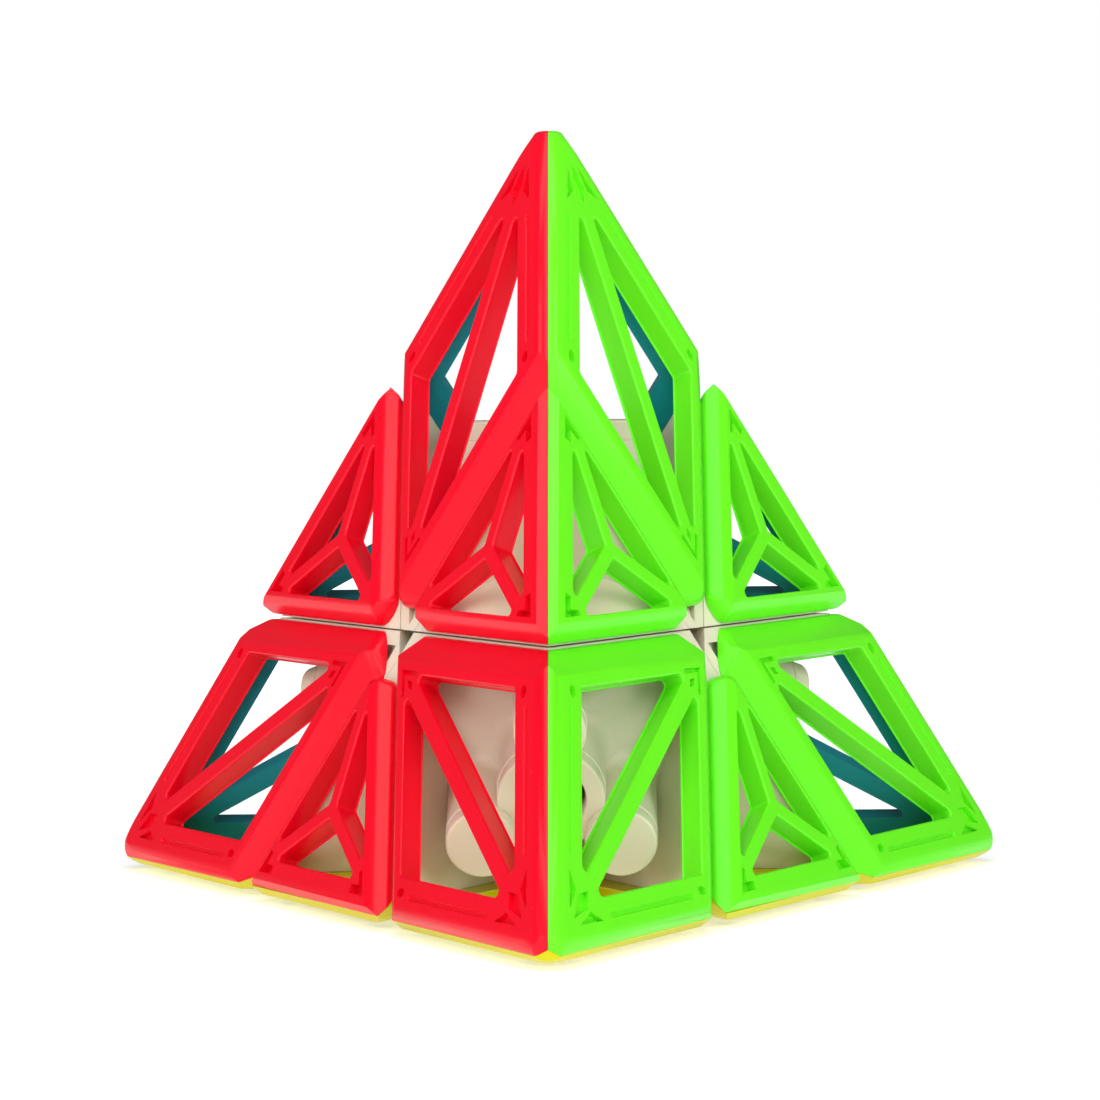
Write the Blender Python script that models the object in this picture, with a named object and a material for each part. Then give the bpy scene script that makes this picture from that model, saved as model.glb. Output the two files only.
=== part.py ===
"""Pyramid twisty puzzle: four turning corners and six edge pieces round a hidden core.

Metres, +Z up. The origin is the centre of the tetrahedron, where the four turning
axes meet, and the yellow face lies flat below it. Each corner turns about the axis
from the centre to its own tip and takes its three neighbouring edge pieces along.

Inside, three ball-shaped layers with running gaps let every layer turn: the core's
ball, the feet of the edge pieces, and the dishes of the corner frames over the feet.
"""

from math import cos, pi, radians, sin, sqrt, tan

import bmesh
import bpy
from mathutils import Matrix, Vector

MM = 0.001
OBJECT_NAME = "pyramid_puzzle"

# Outside of the puzzle
EDGE_LENGTH = 98.0 * MM  # of the sharp tetrahedron
EDGE_ROUNDING = 1.9 * MM
TIP_CUT = 4.3 * MM  # flat on each tip, below the sharp vertex

# Running and fitting gaps
PANEL_GAP = 0.6 * MM  # between the panels of two pieces
FRAME_GAP = 0.4 * MM  # between the frames of two pieces
MITRE_GAP = 0.3 * MM  # between two panels of one piece
SEAT_GAP = 0.3 * MM  # between a panel and its frame, and between stacked fasteners
SHELL_GAP = 0.4 * MM  # between the ball-shaped layers

# Coloured panels
PANEL_THICKNESS = 2.3 * MM
BEVEL_DEPTH = 1.8 * MM
KITE_BEVEL = 2.65 * MM  # from the cut line to the bevel's upper edge
KITE_OUTER_BAR = 5.4 * MM  # along the puzzle's edges
KITE_INNER_BAR = 3.8 * MM  # along the cuts
KITE_STRUT = 2.0 * MM
KITE_NOSE = 3.1 * MM  # blunt inner corner, from the middle of the face
TRIANGLE_BEVEL = 2.05 * MM
TRIANGLE_OUTER_BAR = 4.15 * MM
TRIANGLE_INNER_BAR = 2.9 * MM
TRIANGLE_STRUT = 1.6 * MM
TRIANGLE_NOSE = 4.3 * MM

# Ball-shaped layers round the centre
BALL_RADIUS = 11.1 * MM
FOOT_THICKNESS = 3.4 * MM
DISH_THICKNESS = 2.0 * MM
EDGE_CAP = 3.0 * MM  # solid bottom of an edge frame, above the dish's inner face
FOOT_REACH = radians(80.0)  # from a corner's axis out to the far end of its layer's feet
FOOT_SIDE_GAP = radians(1.5)
WALL = 1.4 * MM

# Column and posts of a corner frame, by their height along the corner's axis
COLUMN_RADIUS = 5.2 * MM
COLUMN_BORE = 3.3 * MM
COLUMN_TOP = 25.4 * MM
COLUMN_FLOOR = 1.8 * MM
POST_RADIUS = 3.5 * MM
POST_OFFSET = 7.6 * MM
POST_TOP = 27.0 * MM
RIM_HEIGHT = 2.0 * MM
RIM_STEP = 0.15 * MM

# Fasteners
ARM_RADIUS = 5.0 * MM
ARM_LENGTH = 13.6 * MM
SCREW_RADIUS = 1.5 * MM
SCREW_CLEARANCE = 0.3 * MM
SCREW_END = 4.0 * MM
SCREW_HEAD_RADIUS = 2.8 * MM
SCREW_HEAD_HEIGHT = 1.8 * MM
CROSS_WIDTH = 0.7 * MM
CROSS_LENGTH = 3.2 * MM
CROSS_DEPTH = 1.0 * MM
WASHER_RADIUS = 2.9 * MM
WASHER_THICKNESS = 0.8 * MM
SPRING_RADIUS = 2.45 * MM  # to the middle of the wire
SPRING_WIRE = 0.35 * MM
SPRING_TURNS = 4
SPRING_HEIGHT = 4.6 * MM  # as fitted

# Facets
BALL_SEGMENTS = 28
BALL_RINGS = 14
CONE_SEGMENTS = 32
ROUND_SEGMENTS = 16
ROUNDING_STEPS = 3
SPRING_STEPS = 10  # points in a turn
WELD = 0.001 * MM

# The tetrahedron
HEIGHT = EDGE_LENGTH * sqrt(2 / 3)
FACE_DISTANCE = HEIGHT / 4
TIP_DISTANCE = 3 * FACE_DISTANCE
CUT_DISTANCE = HEIGHT / 12
FACE_INRADIUS = EDGE_LENGTH / (2 * sqrt(3))
FRAME_DISTANCE = FACE_DISTANCE - PANEL_THICKNESS - SEAT_GAP  # from the centre to a frame's outer faces
BIG = 2 * EDGE_LENGTH  # a size past everything

FOOT_INNER = BALL_RADIUS + SHELL_GAP
FOOT_OUTER = FOOT_INNER + FOOT_THICKNESS
DISH_INNER = FOOT_OUTER + SHELL_GAP
DISH_OUTER = DISH_INNER + DISH_THICKNESS
COLUMN_BOTTOM = ARM_LENGTH + SHELL_GAP
POST_BOTTOM = DISH_OUTER - POST_RADIUS - RIM_STEP - SHELL_GAP
SCREW_HOLE = SCREW_RADIUS + SCREW_CLEARANCE
SPRING_BOTTOM = COLUMN_BOTTOM + COLUMN_FLOOR + SEAT_GAP
WASHER_BOTTOM = SPRING_BOTTOM + SPRING_HEIGHT + SEAT_GAP
SCREW_HEAD_BOTTOM = WASHER_BOTTOM + WASHER_THICKNESS + SEAT_GAP

TIPS = {
    "top": Vector((0, 0, 1)),
    "front": Vector((0, -2 * sqrt(2) / 3, -1 / 3)),
    "left": Vector((-sqrt(2 / 3), sqrt(2) / 3, -1 / 3)),
    "right": Vector((sqrt(2 / 3), sqrt(2) / 3, -1 / 3)),
}
FACES = {"red": "right", "green": "left", "blue": "front", "yellow": "top"}  # colour: opposite tip
EDGES = (
    ("top", "front"),
    ("top", "left"),
    ("top", "right"),
    ("front", "left"),
    ("left", "right"),
    ("right", "front"),
)
FINISHES = {
    "red": ((0.90, 0.01, 0.03), 0.3, 0.0),
    "green": ((0.15, 0.90, 0.04), 0.3, 0.0),
    "blue": ((0.01, 0.30, 0.38), 0.3, 0.0),
    "yellow": ((0.85, 0.75, 0.01), 0.3, 0.0),
    "ivory": ((0.80, 0.76, 0.64), 0.4, 0.0),
    "steel": ((0.55, 0.55, 0.57), 0.35, 1.0),
}


def clear_scene():
    for item in list(bpy.data.objects):
        bpy.data.objects.remove(item)


def new_collection(name):
    collection = bpy.data.collections.new(name)
    bpy.context.scene.collection.children.link(collection)
    return collection


def make_materials():
    materials = {}
    for name, (color, roughness, metallic) in FINISHES.items():
        material = bpy.data.materials.new(name)
        material.use_nodes = True
        shader = material.node_tree.nodes["Principled BSDF"]
        shader.inputs["Base Color"].default_value = (*color, 1.0)
        shader.inputs["Roughness"].default_value = roughness
        shader.inputs["Metallic"].default_value = metallic
        materials[name] = material
    return materials


# Solids: bmesh shapes, and exact Booleans of them ------------------------------------


def mesh_from(bm, name):
    bmesh.ops.recalc_face_normals(bm, faces=bm.faces)
    mesh = bpy.data.meshes.new(name)
    bm.to_mesh(mesh)
    bm.free()
    return mesh


def keep_inside(bm, normal, distance):
    """Cut a closed convex shape at the plane, and keep the part that the normal points away from."""
    everything = bm.verts[:] + bm.edges[:] + bm.faces[:]
    direction = normal.normalized()
    bmesh.ops.bisect_plane(
        bm, geom=everything, plane_co=direction * distance, plane_no=direction, clear_outer=True, dist=1e-7
    )
    bmesh.ops.holes_fill(bm, edges=[edge for edge in bm.edges if edge.is_boundary])


def tetrahedron(face_distance):
    """Sharp tetrahedron round the origin, with one corner up and one to the front."""
    bm = bmesh.new()
    base_radius = 2 * sqrt(2) * face_distance
    place = Matrix.Translation((0, 0, face_distance)) @ Matrix.Rotation(pi, 4, "Z")
    bmesh.ops.create_cone(
        bm, cap_ends=True, segments=3, radius1=base_radius, radius2=0, depth=4 * face_distance, matrix=place
    )
    return bm


def block():
    bm = bmesh.new()
    bmesh.ops.create_cube(bm, size=BIG)
    return bm


def ball(radius):
    bm = bmesh.new()
    bmesh.ops.create_uvsphere(bm, u_segments=BALL_SEGMENTS, v_segments=BALL_RINGS, radius=radius)
    return mesh_from(bm, "ball")


def reach_cone(tip, half_angle):
    """Wide cone from the centre round a corner's axis: it holds the feet that turn with that corner."""
    bm = bmesh.new()
    depth = FOOT_OUTER
    aim = Vector((0, 0, -1)).rotation_difference(TIPS[tip]).to_matrix().to_4x4()
    place = aim @ Matrix.Translation((0, 0, -depth / 2))
    wide = depth * tan(half_angle)
    bmesh.ops.create_cone(
        bm, cap_ends=True, segments=CONE_SEGMENTS, radius1=wide, radius2=0, depth=depth, matrix=place
    )
    return mesh_from(bm, "reach")


def turned(profile, centre=(0, 0)):
    """Solid turned from a profile of (radius, height) that starts and ends on the axis."""
    bm = bmesh.new()
    points = [bm.verts.new((radius, 0, height)) for radius, height in profile]
    lines = [bm.edges.new(pair) for pair in zip(points, points[1:])]
    bmesh.ops.spin(bm, geom=points + lines, axis=(0, 0, 1), cent=(0, 0, 0), angle=2 * pi, steps=ROUND_SEGMENTS)
    bmesh.ops.remove_doubles(bm, verts=bm.verts, dist=WELD)
    bmesh.ops.translate(bm, verts=bm.verts, vec=(centre[0], centre[1], 0))
    return mesh_from(bm, "turned")


def rod(radius, bottom, top):
    return turned(((0, bottom), (radius, bottom), (radius, top), (0, top)))


def stepped_rod(radius, bottom, top, centre=(0, 0)):
    """Rod whose last stretch is a little slimmer, as on the column and the posts."""
    shoulder = top - RIM_HEIGHT
    slim = radius - RIM_STEP
    profile = ((0, bottom), (radius, bottom), (radius, shoulder), (slim, shoulder), (slim, top), (0, top))
    return turned(profile, centre)


def combine(first, operation, second):
    """Mesh of the exact Boolean of two meshes; the operation is UNION, DIFFERENCE or INTERSECT."""
    target = bpy.data.objects.new("target", first)
    cutter = bpy.data.objects.new("cutter", second)
    for item in (target, cutter):
        item.hide_render = True
        item.display_type = "WIRE"
        bpy.data.collections["cutters"].objects.link(item)
    modifier = target.modifiers.new("combine", "BOOLEAN")
    modifier.operation = operation
    modifier.object = cutter
    graph = bpy.context.evaluated_depsgraph_get()
    result = bpy.data.meshes.new_from_object(target.evaluated_get(graph))
    bpy.data.objects.remove(target)
    bpy.data.objects.remove(cutter)
    return result


def joined(meshes):
    """One mesh that holds several that don't touch."""
    bm = bmesh.new()
    for mesh in meshes:
        bm.from_mesh(mesh)
    return mesh_from(bm, "joined")


# Panels: both templates lie in the red face ------------------------------------------

RED_OUTWARD = -TIPS["right"]


def along_face(direction):
    """The direction's share along the red face, as a unit vector."""
    return (direction - RED_OUTWARD * direction.dot(RED_OUTWARD)).normalized()


def bevel_plane(cut_normal, cut_distance, inset):
    """Plane of the bevel along a cut, from its upper edge on the face down to the cut wall."""
    lean = (cut_normal - RED_OUTWARD * cut_normal.dot(RED_OUTWARD)).length
    upper = cut_distance - inset * lean
    run = cut_distance - PANEL_GAP / 2 - upper
    normal = cut_normal * BEVEL_DEPTH + RED_OUTWARD * run
    distance = (BEVEL_DEPTH * upper + run * FACE_DISTANCE) / normal.length
    return normal, distance


def red_slab():
    """The red side of the puzzle's rounded outer form, as thick as a panel."""
    bm = tetrahedron(FACE_DISTANCE)
    width = EDGE_ROUNDING * sqrt(2)
    bmesh.ops.bevel(bm, geom=bm.edges[:], offset=width, segments=ROUNDING_STEPS, profile=0.5, affect="EDGES")
    for direction in TIPS.values():
        keep_inside(bm, direction, TIP_DISTANCE - TIP_CUT)
    keep_inside(bm, -RED_OUTWARD, PANEL_THICKNESS - FACE_DISTANCE)
    return bm


def windowed(bm, windows):
    """The panel with its windows cut through, each given by the planes that bound it."""
    prisms = []
    for planes in windows:
        prism = block()
        for normal, distance in planes:
            keep_inside(prism, normal, distance)
        prisms.append(mesh_from(prism, "window"))
    return combine(mesh_from(bm, "panel"), "DIFFERENCE", joined(prisms))


def kite_panel():
    """Template: the top corner's red panel, with one strut from its tip to its inner corner."""
    bm = red_slab()
    windows = []
    for side, other in (("front", "left"), ("left", "front")):
        keep_inside(bm, -RED_OUTWARD - TIPS[side], -MITRE_GAP / 2)
        keep_inside(bm, TIPS[side], CUT_DISTANCE - PANEL_GAP / 2)
        keep_inside(bm, *bevel_plane(TIPS[side], CUT_DISTANCE, KITE_BEVEL))
        outer_bar = (-along_face(TIPS[other]), FACE_INRADIUS - KITE_OUTER_BAR)
        inner_bar = (along_face(TIPS[side]), -KITE_INNER_BAR)
        strut = (TIPS[other] - TIPS[side], -KITE_STRUT / 2)
        windows.append((outer_bar, inner_bar, strut))
    keep_inside(bm, -along_face(TIPS["top"]), -KITE_NOSE)
    return windowed(bm, windows)


def triangle_panel():
    """Template: the red panel of the top-front edge piece, with three struts from its hub."""
    bm = red_slab()
    keep_inside(bm, -RED_OUTWARD - TIPS["left"], -MITRE_GAP / 2)
    outward = -along_face(TIPS["left"])
    bars = [(outward, FACE_INRADIUS - TRIANGLE_OUTER_BAR)]
    for side in ("top", "front"):
        keep_inside(bm, -TIPS[side], -CUT_DISTANCE - PANEL_GAP / 2)
        keep_inside(bm, *bevel_plane(-TIPS[side], -CUT_DISTANCE, TRIANGLE_BEVEL))
        bars.append((-along_face(TIPS[side]), -TRIANGLE_INNER_BAR))
    keep_inside(bm, -outward, -TRIANGLE_NOSE)
    hub = outward * (FACE_INRADIUS - TRIANGLE_OUTER_BAR + TRIANGLE_INNER_BAR) * 2 / 3
    windows = []
    for bar in bars:
        planes = [bar]
        for opposite, _ in bars:
            if opposite != bar[0]:
                side = (bar[0] - opposite * bar[0].dot(opposite)).normalized()
                planes.append((-side, -side.dot(hub) - TRIANGLE_STRUT / 2))
        windows.append(planes)
    return windowed(bm, windows)


# Frames, core and fasteners ------------------------------------------------------------


def corner_cell(cut_distance, face_distance):
    """Convex room of the top corner, between the three cuts round it."""
    bm = tetrahedron(face_distance)
    for side in ("front", "left", "right"):
        keep_inside(bm, TIPS[side], cut_distance)
    keep_inside(bm, -TIPS["top"], -CUT_DISTANCE - FRAME_GAP / 2)
    return mesh_from(bm, "cell")


def edge_cell(cut_distance, face_distance):
    """Convex room of the top-front edge piece, between the two cuts beside it."""
    bm = tetrahedron(face_distance)
    for side in ("top", "front"):
        keep_inside(bm, -TIPS[side], -cut_distance)
    return mesh_from(bm, "cell")


def corner_frame():
    """Template: walls along three cuts, a dish over the feet, a bored column and three posts."""
    outer = corner_cell(CUT_DISTANCE - FRAME_GAP / 2, FRAME_DISTANCE)
    inner = corner_cell(CUT_DISTANCE - FRAME_GAP / 2 - WALL, BIG)
    hollow = combine(inner, "DIFFERENCE", ball(DISH_OUTER))
    frame = combine(combine(outer, "DIFFERENCE", hollow), "DIFFERENCE", ball(DISH_INNER))
    column = combine(stepped_rod(COLUMN_RADIUS, COLUMN_BOTTOM, COLUMN_TOP), "INTERSECT", outer)
    frame = combine(frame, "UNION", column)
    for side in ("front", "left", "right"):
        away = Vector((TIPS[side].x, TIPS[side].y)).normalized() * POST_OFFSET
        post = combine(stepped_rod(POST_RADIUS, POST_BOTTOM, POST_TOP, away), "INTERSECT", outer)
        post = combine(post, "DIFFERENCE", ball((DISH_INNER + DISH_OUTER) / 2))
        frame = combine(frame, "UNION", post)
    floor = COLUMN_BOTTOM + COLUMN_FLOOR
    bore = ((0, 0), (SCREW_HOLE, 0), (SCREW_HOLE, floor), (COLUMN_BORE, floor), (COLUMN_BORE, BIG), (0, BIG))
    return combine(frame, "DIFFERENCE", turned(bore))


def edge_frame():
    """Template: walls along two cuts, a solid bottom, and the foot that hooks under two dishes."""
    outer = edge_cell(CUT_DISTANCE + FRAME_GAP / 2, FRAME_DISTANCE)
    inner = edge_cell(CUT_DISTANCE + FRAME_GAP / 2 + WALL, BIG)
    hollow = combine(inner, "DIFFERENCE", ball(DISH_INNER + EDGE_CAP))
    frame = combine(combine(outer, "DIFFERENCE", hollow), "DIFFERENCE", ball(FOOT_OUTER - SHELL_GAP))
    foot = combine(ball(FOOT_OUTER), "DIFFERENCE", ball(FOOT_INNER))
    foot = combine(foot, "INTERSECT", mesh_from(tetrahedron(FRAME_DISTANCE), "room"))
    for side in ("top", "front"):
        foot = combine(foot, "INTERSECT", reach_cone(side, FOOT_REACH))
    for side in ("left", "right"):
        foot = combine(foot, "DIFFERENCE", reach_cone(side, FOOT_REACH + FOOT_SIDE_GAP))
    return combine(frame, "UNION", foot)


def core_hub():
    """Ball with four arms, each with a blind screw hole."""
    core = ball(BALL_RADIUS)
    for direction in TIPS.values():
        aim = Vector((0, 0, 1)).rotation_difference(direction).to_matrix().to_4x4()
        arm = rod(ARM_RADIUS, BALL_RADIUS / 2, ARM_LENGTH)
        hole = rod(SCREW_HOLE, SCREW_END - SEAT_GAP, 2 * ARM_LENGTH)
        arm.transform(aim)
        hole.transform(aim)
        core = combine(combine(core, "UNION", arm), "DIFFERENCE", hole)
    return core


def screw():
    """Template: pan-head screw along the top axis, with a cross recess."""
    head_top = SCREW_HEAD_BOTTOM + SCREW_HEAD_HEIGHT
    shape = turned(
        (
            (0, SCREW_END),
            (SCREW_RADIUS, SCREW_END),
            (SCREW_RADIUS, SCREW_HEAD_BOTTOM),
            (SCREW_HEAD_RADIUS, SCREW_HEAD_BOTTOM),
            (SCREW_HEAD_RADIUS, head_top - SCREW_HEAD_HEIGHT / 3),
            (SCREW_HEAD_RADIUS - SCREW_HEAD_HEIGHT / 3, head_top),
            (0, head_top),
        )
    )
    for size in ((CROSS_LENGTH, CROSS_WIDTH), (CROSS_WIDTH, CROSS_LENGTH)):
        bm = bmesh.new()
        scale = Matrix.Diagonal((size[0], size[1], 2 * CROSS_DEPTH, 1))
        bmesh.ops.create_cube(bm, size=1, matrix=Matrix.Translation((0, 0, head_top)) @ scale)
        shape = combine(shape, "DIFFERENCE", mesh_from(bm, "slot"))
    return shape


def washer():
    bottom, top = WASHER_BOTTOM, WASHER_BOTTOM + WASHER_THICKNESS
    return combine(rod(WASHER_RADIUS, bottom, top), "DIFFERENCE", rod(SCREW_HOLE, bottom - MM, top + MM))


def spring_curve():
    """Template: coil round the screw, between the column's floor and the washer."""
    curve = bpy.data.curves.new("spring", "CURVE")
    curve.dimensions = "3D"
    curve.bevel_depth = SPRING_WIRE
    curve.bevel_resolution = 2
    curve.use_fill_caps = True
    line = curve.splines.new("POLY")
    count = SPRING_TURNS * SPRING_STEPS
    line.points.add(count)
    rise = SPRING_HEIGHT - 2 * SPRING_WIRE
    for index, point in enumerate(line.points):
        angle = 2 * pi * index / SPRING_STEPS
        height = SPRING_BOTTOM + SPRING_WIRE + rise * index / count
        point.co = (SPRING_RADIUS * cos(angle), SPRING_RADIUS * sin(angle), height, 1)
    return curve


# Assembly ----------------------------------------------------------------------------


def turn(sources, targets):
    """Rotation about the centre that takes two tips to two others."""

    def basis(names):
        first, second = TIPS[names[0]], TIPS[names[1]]
        return Matrix((first, second, first.cross(second))).transposed()

    return (basis(targets) @ basis(sources).inverted()).to_4x4()


def pivot(name, matrix):
    """Empty at the centre, on the axis that its pieces turn about."""
    empty = bpy.data.objects.new(name, None)
    empty.empty_display_size = CUT_DISTANCE
    bpy.data.collections[OBJECT_NAME].objects.link(empty)
    empty.matrix_world = matrix
    return empty


def place(name, data, material, parent, matrix):
    """Add one piece, turned from its template's place to its own."""
    piece = bpy.data.objects.new(name, data)
    bpy.data.collections[OBJECT_NAME].objects.link(piece)
    if not data.materials:
        data.materials.append(material)
    piece.material_slots[0].link = "OBJECT"
    piece.material_slots[0].material = material
    if parent:
        piece.parent = parent
        piece.matrix_parent_inverse = parent.matrix_basis.inverted()
    piece.matrix_basis = matrix
    return piece


def build_corners(materials):
    frame, panel = corner_frame(), kite_panel()
    fasteners = (("screw", screw()), ("washer", washer()), ("spring", spring_curve()))
    for tip in TIPS:
        others = [other for other in TIPS if other != tip]
        upright = turn(("top", "right"), (tip, others[0]))
        axis = pivot(f"{tip}_turn", upright)
        place(f"{tip}_corner_frame", frame, materials["ivory"], axis, upright)
        for name, data in fasteners:
            place(f"{tip}_{name}", data, materials["steel"], axis, upright)
        for color, opposite in FACES.items():
            if opposite != tip:
                matrix = turn(("top", "right"), (tip, opposite))
                place(f"{tip}_corner_{color}_panel", panel, materials[color], axis, matrix)


def build_edges(materials):
    frame, panel = edge_frame(), triangle_panel()
    for first, second in EDGES:
        across = turn(("top", "front"), (first, second))
        axis = pivot(f"{first}_{second}_turn", across)
        place(f"{first}_{second}_edge_frame", frame, materials["ivory"], axis, across)
        for color, opposite in FACES.items():
            if opposite not in (first, second):
                matrix = turn(("top", "right"), (first, opposite))
                if (matrix.to_3x3() @ TIPS["front"] - TIPS[second]).length > WELD:
                    matrix = turn(("top", "right"), (second, opposite))
                place(f"{first}_{second}_edge_{color}_panel", panel, materials[color], axis, matrix)


def main():
    clear_scene()
    new_collection(OBJECT_NAME)
    new_collection("cutters").hide_render = True
    materials = make_materials()
    place("core_hub", core_hub(), materials["ivory"], None, Matrix.Identity(4))
    build_corners(materials)
    build_edges(materials)


main()
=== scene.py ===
"""Visual model of a pyramid twisty puzzle: coloured hollow panels over an ivory skeleton.

Shapes are built in millimetres round the core's centre and scaled to metres when they are placed.
"""

import logging
from collections.abc import Sequence
from dataclasses import dataclass, field
from enum import Enum
from math import acos, atan2, cos, pi, radians, sin, sqrt, tan
from typing import Any

import bmesh
import bpy
from bmesh.types import BMesh
from bpy.types import Material, Mesh, NodeSocket as Socket
from mathutils import Matrix, Vector


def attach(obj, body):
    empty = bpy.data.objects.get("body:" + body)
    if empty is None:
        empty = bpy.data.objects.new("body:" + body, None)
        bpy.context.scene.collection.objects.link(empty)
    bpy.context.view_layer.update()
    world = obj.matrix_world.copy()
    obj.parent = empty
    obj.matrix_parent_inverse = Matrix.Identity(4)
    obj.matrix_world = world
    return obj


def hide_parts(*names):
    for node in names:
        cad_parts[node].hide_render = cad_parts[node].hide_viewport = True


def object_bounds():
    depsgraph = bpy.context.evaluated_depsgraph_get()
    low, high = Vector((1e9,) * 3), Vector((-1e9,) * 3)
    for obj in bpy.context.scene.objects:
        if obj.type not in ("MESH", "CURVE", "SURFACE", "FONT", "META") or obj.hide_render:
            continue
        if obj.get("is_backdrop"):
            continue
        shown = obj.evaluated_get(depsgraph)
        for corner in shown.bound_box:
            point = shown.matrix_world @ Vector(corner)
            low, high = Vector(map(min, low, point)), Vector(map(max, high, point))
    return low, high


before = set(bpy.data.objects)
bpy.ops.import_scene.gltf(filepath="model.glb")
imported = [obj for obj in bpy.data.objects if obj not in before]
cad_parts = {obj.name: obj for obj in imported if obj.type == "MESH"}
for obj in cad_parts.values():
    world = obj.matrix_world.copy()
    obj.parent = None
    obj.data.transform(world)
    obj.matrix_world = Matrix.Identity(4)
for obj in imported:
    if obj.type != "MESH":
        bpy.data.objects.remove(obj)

LOG = logging.getLogger("pyramid")
MM = 0.001
WHITE = (1.0, 1.0, 1.0)
FAR = 200.0  # a size past everything, in millimetres
TINY = 1e-4  # points nearer than this are one, in millimetres
CUT_TOLERANCE = 1e-5  # how near a cut a point counts as on it, in millimetres
SIXTH = radians(30)  # between a face's side and the line to its middle
SMOOTH_BELOW = radians(32)  # facets that meet at less shade as one surface

Point = tuple[float, float]
Color = tuple[float, float, float]


class Labelled(Enum):
    """A choice with a plain name."""

    @property
    def label(self) -> str:
        """The name in the CAD frame and in the record's slots."""
        return self.name.lower()


class Tip(Labelled):
    """A corner of the puzzle, valued by the unit vector from the core to it."""

    TOP = (0.0, 0.0, 1.0)
    FRONT = (0.0, -2 * sqrt(2) / 3, -1 / 3)
    LEFT = (-sqrt(2 / 3), sqrt(2) / 3, -1 / 3)
    RIGHT = (sqrt(2 / 3), sqrt(2) / 3, -1 / 3)

    @property
    def axis(self) -> Vector:
        """The turning axis, out of the core."""
        return Vector(self.value)


class Hue(Labelled):
    """A face colour, valued by the corner opposite its face."""

    RED = Tip.RIGHT
    GREEN = Tip.LEFT
    BLUE = Tip.FRONT
    YELLOW = Tip.TOP


EDGES = (
    *((Tip.TOP, other) for other in (Tip.FRONT, Tip.LEFT, Tip.RIGHT)),
    (Tip.FRONT, Tip.LEFT), (Tip.LEFT, Tip.RIGHT), (Tip.RIGHT, Tip.FRONT),
)


# Shader graphs ----


class Value:
    """A shader number that adds Math nodes where it is used in arithmetic."""

    def __init__(self, graph: "ShaderGraph", socket: Socket) -> None:
        """Wrap an output socket of the graph."""
        self.graph = graph
        self.socket = socket

    def combined(self, operation: str, first: Any, second: Any) -> "Value":
        """Result of one Math node on Values or numbers."""
        node = self.graph.node("ShaderNodeMath", {"operation": operation}, {0: first, 1: second})
        return Value(self.graph, node.outputs[0])

    def __add__(self, other: Any) -> "Value":
        """Sum."""
        return self.combined("ADD", self, other)

    def __mul__(self, other: Any) -> "Value":
        """Product."""
        return self.combined("MULTIPLY", self, other)

    __radd__ = __add__
    __rmul__ = __mul__


class NodeGraph:
    """The nodes of one node tree."""

    def __init__(self, tree: bpy.types.NodeTree) -> None:
        """Start on that tree."""
        self.tree = tree

    def node(
        self, kind: str, settings: dict[str, Any] | None = None, sockets: dict[str | int, Any] | None = None
    ) -> bpy.types.Node:
        """Add one node.

        Args:
            kind: the node's type.
            settings: its own settings, set first; "stops" lists a ramp's (position, grey) pairs.
            sockets: values or links of its input sockets.

        Returns:
            The node.
        """
        made = self.tree.nodes.new(kind)
        for name, value in (settings or {}).items():
            if name == "stops":
                for element, (position, grey) in zip(made.color_ramp.elements, value):
                    element.position = position
                    element.color = (grey, grey, grey, 1.0)
            else:
                setattr(made, name, value)
        for name, value in (sockets or {}).items():
            self.feed(made.inputs[name], value)
        return made

    def feed(self, socket: Socket, value: Any) -> None:
        """Set a socket to a number, or link it to a Value or a socket."""
        if isinstance(value, Value):
            value = value.socket
        if isinstance(value, Socket):
            self.tree.links.new(value, socket)
        else:
            socket.default_value = value


class ShaderGraph(NodeGraph):
    """A material and the nodes that lead to its Principled shader."""

    def __init__(self, name: str) -> None:
        """Start a material of that name."""
        self.material = bpy.data.materials.new(name)
        self.material.use_nodes = True
        super().__init__(self.material.node_tree)
        self.shader = self.tree.nodes["Principled BSDF"]
        self.place = self.node("ShaderNodeTexCoord").outputs["Object"]

    def noise(self, scale: float, detail: float = 2.0, stretch: Color = (1.0, 1.0, 1.0)) -> Value:
        """Noise over the piece, with scale in features per metre."""
        vector = self.node("ShaderNodeVectorMath", {"operation": "MULTIPLY"}, {0: self.place, 1: stretch})
        made = self.node(
            "ShaderNodeTexNoise", None, {"Vector": vector.outputs[0], "Scale": scale, "Detail": detail}
        )
        return Value(self, made.outputs["Fac"])

    def ramp(self, value: Value, low: float, high: float) -> Value:
        """The value carried from low..high to 0..1."""
        made = self.node("ShaderNodeValToRGB", {"stops": ((low, 0.0), (high, 1.0))}, {"Fac": value})
        return Value(self, made.outputs["Color"])

    def mixed(self, amount: Any, first: Any, second: Any) -> Socket:
        """Colour mixed from two, by an amount from 0 to 1."""
        made = self.node("ShaderNodeMix", {"data_type": "RGBA"}, {"Factor": amount})
        for socket, value in zip((made.inputs[6], made.inputs[7]), (first, second)):
            self.feed(socket, (*value, 1.0) if isinstance(value, tuple) else value)
        return made.outputs[2]

    def bump(self, height: Value, strength: float, distance: float, base: Any = None) -> Socket:
        """Normal bumped by a height, over a base normal if one is given."""
        sockets = {"Strength": strength, "Distance": distance, "Height": height}
        if base is not None:
            sockets["Normal"] = base
        return self.node("ShaderNodeBump", None, sockets).outputs["Normal"]

    def finish(self, sockets: dict[str, Any]) -> Material:
        """Feed the Principled shader and return the material."""
        for name, value in sockets.items():
            self.feed(self.shader.inputs[name], value)
        return self.material


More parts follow.
